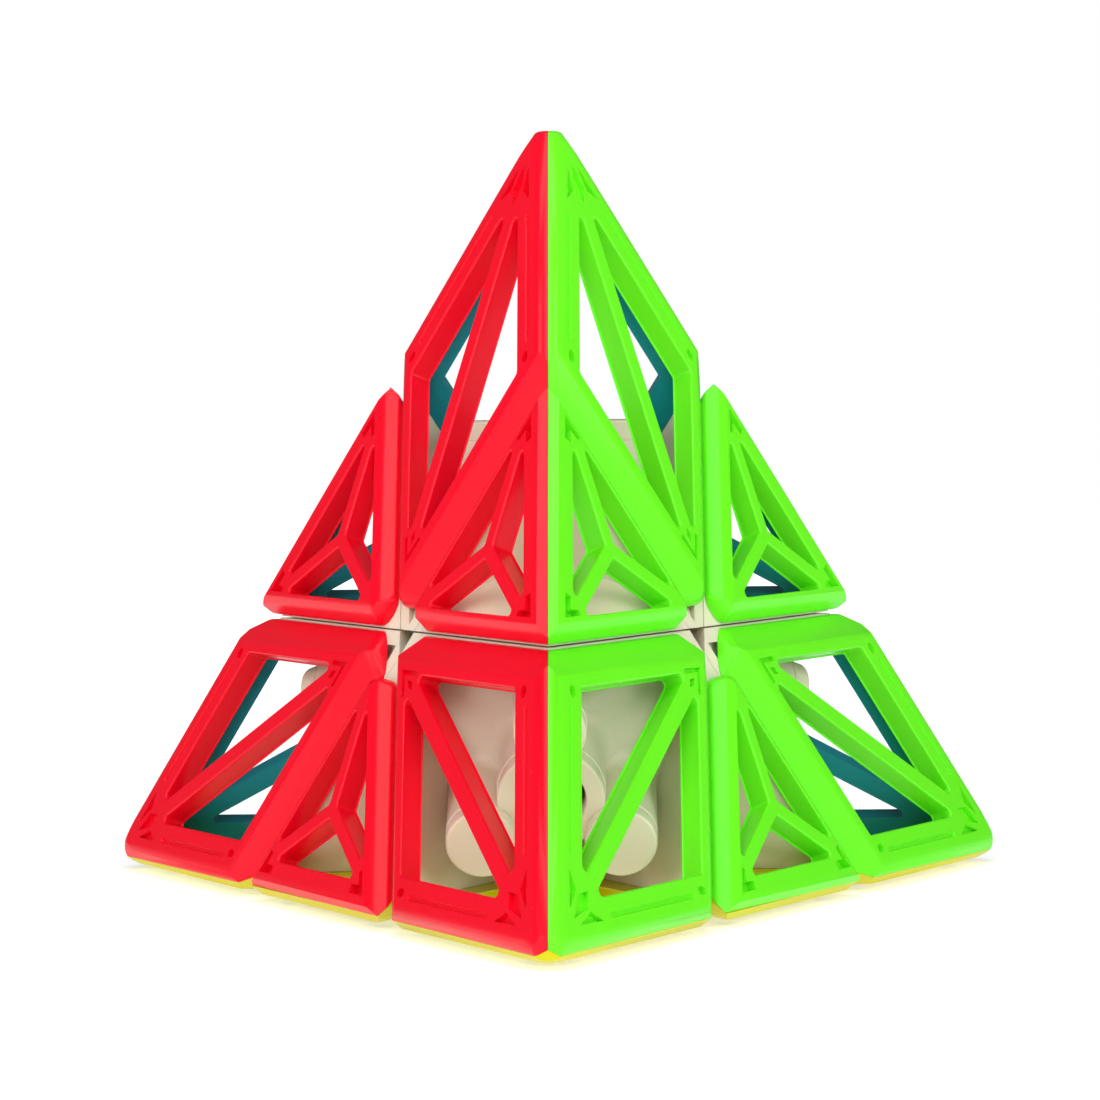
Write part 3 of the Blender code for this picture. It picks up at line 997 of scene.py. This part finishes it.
@dataclass
class EdgeSkeleton(Skeleton):
    """An edge piece's frame: two walls, a solid bottom, and the foot that hooks under two dishes."""

    cap: float = 3.0
    foot_reach: float = 80.0
    foot_side_gap: float = 1.5
    foot_overlap: float = 0.4  # how far the frame's bottom reaches into the foot

    def reach_cone(self, tip: Tip, half_angle: float) -> Mesh:
        """Wide cone from the core round a corner's axis."""
        bm = bmesh.new()
        depth = self.foot_outer
        aim = Vector((0, 0, -1)).rotation_difference(tip.axis).to_matrix().to_4x4()
        wide = depth * tan(radians(half_angle))
        place = aim @ Matrix.Translation((0, 0, -depth / 2))
        sizes = {"radius1": wide, "radius2": 0, "depth": depth}
        bmesh.ops.create_cone(bm, cap_ends=True, segments=96, matrix=place, **sizes)
        return to_mesh(bm)

    def shell(self) -> Mesh:
        """The whole frame of the top-front edge piece."""
        sides = (Tip.TOP, Tip.FRONT)
        far = self.form.cut_distance + self.gap / 2
        face_distance = self.form.face_distance - self.seat
        outer = self.cell([(-side.axis, -far) for side in sides], face_distance)
        inner = self.cell([(-side.axis, -far - self.wall) for side in sides], FAR)
        hollow = minus(inner, ball(self.dish_inner + self.cap))
        cradle = minus(outer, hollow, ball(self.foot_outer - self.foot_overlap))
        foot = minus(ball(self.foot_outer), ball(self.foot_inner))
        foot = combine(foot, "INTERSECT", to_mesh(tetrahedron(face_distance)))
        for side in sides:
            foot = combine(foot, "INTERSECT", self.reach_cone(side, self.foot_reach))
        wide = self.foot_reach + self.foot_side_gap
        foot = minus(foot, *(self.reach_cone(side, wide) for side in (Tip.LEFT, Tip.RIGHT)))
        return combine(cradle, "UNION", foot)


# Core and fasteners ----


@dataclass
class CoreHub:
    """The hidden core: a ball with four bored arms."""

    ball_radius: float = 11.1
    arm_radius: float = 5.0
    arm_start: float = 4.2
    arm_length: float = 13.6
    arm_softness: float = 0.4
    screw_hole: float = 1.8
    hole_end: float = 3.7

    def template(self) -> Mesh:
        """The core in its own place."""
        core = ball(self.ball_radius, 48)
        for tip in Tip:
            aim = Vector((0, 0, 1)).rotation_difference(tip.axis).to_matrix().to_4x4()
            wide, end, soft = self.arm_radius, self.arm_length, self.arm_softness
            profile = [(0, self.arm_start), (wide, self.arm_start), (wide, end - soft)]
            profile += [(wide - soft, end), (0, end)]
            arm, hole = lathed(profile, 40), drill(self.screw_hole, self.hole_end, 32)
            arm.transform(aim)
            hole.transform(aim)
            core = minus(combine(core, "UNION", arm), hole)
        return core


@dataclass
class Fasteners:
    """Tension screw, washer and spring along a corner's axis, in millimetres."""

    screw_radius: float = 1.5
    screw_end: float = 4.0
    pitch: float = 0.5
    plain_length: float = 6.0  # of the shank, under the head
    head_radius: float = 2.8
    head_bottom: float = 22.1
    head_height: float = 1.8
    cross: tuple[float, float] = (3.2, 0.7)
    washer_radius: float = 2.9
    washer_hole: float = 1.8
    washer_bottom: float = 21.0
    washer_thickness: float = 0.8
    spring_radius: float = 2.45
    spring_wire: float = 0.35
    spring_bottom: float = 16.1
    spring_height: float = 4.6
    spring_turns: int = 4

    def screw(self) -> Mesh:
        """Pan-head screw with a cross recess and a turned thread."""
        top = self.head_bottom + self.head_height
        crest, root, shank = self.screw_radius, self.screw_radius - 0.25, self.screw_radius - 0.1
        profile: list[Point] = [(0, self.screw_end), (self.screw_radius - 0.5, self.screw_end)]
        pitch, height = self.pitch, self.screw_end + self.pitch
        while height < self.head_bottom - self.plain_length:
            profile += [(root, height), (crest, height + pitch / 2)]
            height += pitch
        profile += [(root, height), (shank, height + 0.4), (shank, self.head_bottom)]
        profile += [(self.head_radius - 0.15, self.head_bottom), (self.head_radius, self.head_bottom + 0.15)]
        for step in range(6):
            angle = pi / 2 * step / 5
            profile.append((self.head_radius - 1.1 + 1.1 * cos(angle), top - 0.9 + 0.9 * sin(angle)))
        profile.append((0, top))
        shape = lathed(profile, 40)
        for across, along in (self.cross, self.cross[::-1]):
            bm = bmesh.new()
            size = Matrix.Diagonal((across, along, 2.0, 1.0))
            bmesh.ops.create_cube(bm, size=1, matrix=Matrix.Translation((0, 0, top)) @ size)
            shape = minus(shape, to_mesh(bm))
        return shape

    def washer(self) -> Mesh:
        """Flat washer with soft edges."""
        low, high, soft = self.washer_bottom, self.washer_bottom + self.washer_thickness, 0.12
        near, wide = self.washer_hole, self.washer_radius
        outline = [(near, low + soft), (near + soft, low), (wide - soft, low), (wide, low + soft)]
        outline += [(wide, high - soft), (wide - soft, high), (near + soft, high), (near, high - soft)]
        return lathed(outline, 48, closed=True)

    def spring(self) -> Mesh:
        """Compression spring with its two ends laid flat."""
        steps, around, flat_turns = 28, 10, 0.6
        rise = self.spring_height - 2 * self.spring_wire
        loops = []
        for index in range(self.spring_turns * steps + 1):
            turns = index / steps
            share = min(max((turns - flat_turns) / (self.spring_turns - 2 * flat_turns), 0.0), 1.0)
            angle = 2 * pi * turns
            out, up = Vector((cos(angle), sin(angle), 0)), Vector((0, 0, 1))
            centre = out * self.spring_radius + up * (self.spring_bottom + self.spring_wire + rise * share)
            sides = [2 * pi * side / around for side in range(around)]
            loops.append([centre + (out * cos(a) + up * sin(a)) * self.spring_wire for a in sides])
        return skinned(loops)


# Assembly ----


@dataclass
class Puzzle:
    """The whole puzzle: templates placed round the core by the symmetry of the tetrahedron."""

    form: PyramidForm = field(default_factory=PyramidForm)

    def __post_init__(self) -> None:
        """Mix the finishes."""
        self.finishes = {finish.slot: finish.material() for finish in FINISHES}

    def piece(self, name: str, mesh: Mesh, matrix: Matrix, slot: str, body: str, node: str) -> None:
        """Add one piece to the scene, in metres, and hang it on the CAD frame.

        Args:
            name: the piece's name.
            mesh: its template, in millimetres.
            matrix: from the template's place to the piece's own.
            slot: the record's slot of its finish.
            body: the CAD body it rides on.
            node: the CAD node it stands for.
        """
        own = mesh.copy()
        own.name = name
        own.transform(Matrix.Scale(MM, 4) @ matrix)
        own.materials.clear()
        own.materials.append(self.finishes[slot])
        own.polygons.foreach_set("use_smooth", [True] * len(own.polygons))
        own.set_sharp_from_angle(angle=SMOOTH_BELOW)
        piece = bpy.data.objects.new(name, own)
        bpy.context.scene.collection.objects.link(piece)
        weighted = piece.modifiers.new("even_normals", "WEIGHTED_NORMAL")
        weighted.keep_sharp = True
        weighted.weight = 100
        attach(piece, body)
        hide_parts(node)
        LOG.info("placed %s on %s", name, body)

    def build_corners(self) -> None:
        """The four corner pieces and their fasteners."""
        skeleton, fasteners = CornerSkeleton(self.form), Fasteners()
        panel, shell, column = KitePanel(self.form).template(), skeleton.shell(), skeleton.column()
        posts = {side: skeleton.post(side) for side in skeleton.sides}
        metal = {"screw": fasteners.screw(), "washer": fasteners.washer(), "spring": fasteners.spring()}
        for tip in Tip:
            others = [other for other in Tip if other is not tip]
            upright = rotation((Tip.TOP, Tip.RIGHT), (tip, others[0]))
            label, body = tip.label, f"{tip.label}_corner"
            node = f"{body}_frame"
            self.piece(f"{label}_dish_and_walls", shell, upright, "ivory", body, node)
            self.piece(f"{label}_column", column, upright, "ivory", body, node)
            for side, post in posts.items():
                self.piece(f"{label}_post_{side.label}", post, upright, "ivory", body, node)
            for name, mesh in metal.items():
                self.piece(f"{label}_tension_{name}", mesh, upright, "steel", "core", f"{label}_{name}")
            for hue in Hue:
                if hue.value is not tip:
                    matrix, node = rotation((Tip.TOP, Tip.RIGHT), (tip, hue.value)), f"{body}_{hue.label}_panel"
                    self.piece(f"{label}_kite_{hue.label}", panel, matrix, hue.label, body, node)

    def build_edges(self) -> None:
        """The six edge pieces."""
        panel, shell = TrianglePanel(self.form).template(), EdgeSkeleton(self.form).shell()
        for first, second in EDGES:
            body = f"{first.label}_{second.label}_edge"
            across = rotation((Tip.TOP, Tip.FRONT), (first, second))
            self.piece(f"{body}_cradle", shell, across, "ivory", body, f"{body}_frame")
            for hue in Hue:
                if hue.value not in (first, second):
                    matrix = rotation((Tip.TOP, Tip.RIGHT), (first, hue.value))
                    if (matrix.to_3x3() @ Tip.FRONT.axis - second.axis).length > MM:
                        matrix = rotation((Tip.TOP, Tip.RIGHT), (second, hue.value))
                    node = f"{body}_{hue.label}_panel"
                    self.piece(f"{body}_{hue.label}_triangle", panel, matrix, hue.label, body, node)

    def build(self) -> None:
        """Every piece of the object."""
        hub, still = CoreHub().template(), Matrix.Identity(4)
        self.piece("hub_with_four_arms", hub, still, "ivory", "core", "core_hub")
        self.build_corners()
        self.build_edges()


# Studio ----


@dataclass
class Lamp:
    """A rectangular soft light that aims at the puzzle."""

    name: str
    place: Color
    size: tuple[float, float]
    power: float

    def build(self) -> None:
        """Add the light."""
        data = bpy.data.lights.new(self.name, "AREA")
        data.shape = "RECTANGLE"
        data.size, data.size_y = self.size
        data.energy = self.power
        lamp = bpy.data.objects.new(self.name, data)
        lamp.location = self.place
        lamp.rotation_euler = (-Vector(self.place)).to_track_quat("-Z", "Y").to_euler()
        bpy.context.scene.collection.objects.link(lamp)


@dataclass
class Studio:
    """Pale floor, white backdrop, soft lights and the camera, in metres."""

    floor_height: float
    lamps: tuple[Lamp, ...] = (
        Lamp("front_softbox", (0.0, -0.80, 0.40), (0.7, 0.3), 2.5),
        Lamp("left_softbox", (-0.60, -0.50, 0.28), (0.4, 0.5), 2.0),
        Lamp("right_softbox", (0.60, -0.50, 0.28), (0.4, 0.5), 2.2),
        Lamp("overhead", (0.0, -0.30, 0.74), (0.5, 0.4), 2.3),
    )
    ambient: float = 0.12
    backdrop: float = 1.0
    floor_half_width: float = 1.0
    floor_drop: float = 0.0006
    painted_floor_glow: float = 0.40  # painted glow at the puzzle, up to 1 at the distance below
    glow_reach: float = 0.45
    camera_place: Color = (0.005685, -0.423637, 0.033947)
    camera_yaw: float = -0.01392
    camera_pitch: float = 0.04680
    camera_roll: float = -0.00958
    lens: float = 139.18
    sensor_width: float = 36.0
    clip: tuple[float, float] = (0.01, 50.0)

    def build_floor(self) -> None:
        """A pale square floor just under the puzzle, lit and given a painted glow that is dimmer near the
        puzzle, to look like white paper.
        """
        reach, height = self.floor_half_width, self.floor_height - self.floor_drop
        bm = bmesh.new()
        outline = ((-reach, -reach), (reach, -reach), (reach, reach), (-reach, reach))
        bm.faces.new([bm.verts.new(point) for point in lifted(outline, 0.0)])
        mesh = to_mesh(bm)
        graph = ShaderGraph("floor_white_painted_glow")
        fibres = graph.noise(900.0, 2.0)
        white = graph.mixed(graph.noise(3.0), (0.90, 0.90, 0.90), (0.88, 0.88, 0.885))
        sockets = {"Base Color": white, "Roughness": 0.8, "Normal": graph.bump(fibres, 0.05, 0.0001)}
        shrink = {0: graph.place, "Scale": 1 / self.glow_reach}
        scaled = graph.node("ShaderNodeVectorMath", {"operation": "SCALE"}, shrink)
        shape = {"gradient_type": "SPHERICAL"}
        near = graph.node("ShaderNodeTexGradient", shape, {"Vector": scaled.outputs[0]})
        # painted light: the floor emits, least at the puzzle and full white from glow_reach outwards
        glow = graph.mixed(near.outputs["Fac"], WHITE, (self.painted_floor_glow,) * 3)
        sockets |= {"Specular IOR Level": 0.1, "Emission Strength": 1.0, "Emission Color": glow}
        mesh.materials.append(graph.finish(sockets))
        sheet = bpy.data.objects.new("floor", mesh)
        sheet.location.z = height
        bpy.context.scene.collection.objects.link(sheet)
        sheet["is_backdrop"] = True

    def build_backdrop(self) -> None:
        """A white backdrop all round that gives only a little light."""
        world = bpy.data.worlds.new("studio")
        world.use_nodes = True
        graph = NodeGraph(world.node_tree)
        light, seen = (
            graph.node("ShaderNodeBackground", None, {"Color": (*WHITE, 1.0), "Strength": strength})
            for strength in (self.ambient, self.backdrop)
        )
        amount = graph.node("ShaderNodeLightPath").outputs["Is Camera Ray"]
        mix = graph.node("ShaderNodeMixShader", None, {0: amount, 1: light.outputs[0], 2: seen.outputs[0]})
        graph.feed(graph.tree.nodes["World Output"].inputs["Surface"], mix.outputs[0])
        bpy.context.scene.world = world

    def build_camera(self) -> None:
        """The camera, level with the middle of the puzzle and a little above it."""
        yaw, pitch, roll = self.camera_yaw, self.camera_pitch, self.camera_roll
        ahead = Vector((sin(yaw) * cos(pitch), cos(yaw) * cos(pitch), -sin(pitch)))
        right = Vector((cos(yaw), -sin(yaw), 0))
        up = right.cross(ahead)
        across = right * cos(roll) + up * sin(roll)
        upright = up * cos(roll) - right * sin(roll)
        data = bpy.data.cameras.new("camera")
        data.lens = self.lens
        data.sensor_width = self.sensor_width
        data.clip_start, data.clip_end = self.clip
        camera = bpy.data.objects.new("camera", data)
        axes = Matrix((across, upright, -ahead)).transposed().to_4x4()
        camera.matrix_world = Matrix.Translation(self.camera_place) @ axes
        bpy.context.scene.collection.objects.link(camera)
        bpy.context.scene.camera = camera

    def build(self) -> None:
        """Everything round the object."""
        bpy.context.scene.view_settings.view_transform = "Standard"
        self.build_backdrop()
        self.build_floor()
        for lamp in self.lamps:
            lamp.build()
        self.build_camera()


def main() -> None:
    """Build the puzzle and its studio, with the floor under the CAD's box."""
    logging.basicConfig(level=logging.INFO)
    cad_box = [list(corner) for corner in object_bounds()]
    Puzzle().build()
    Studio(floor_height=cad_box[0][2]).build()


if __name__ == "__main__":
    main()
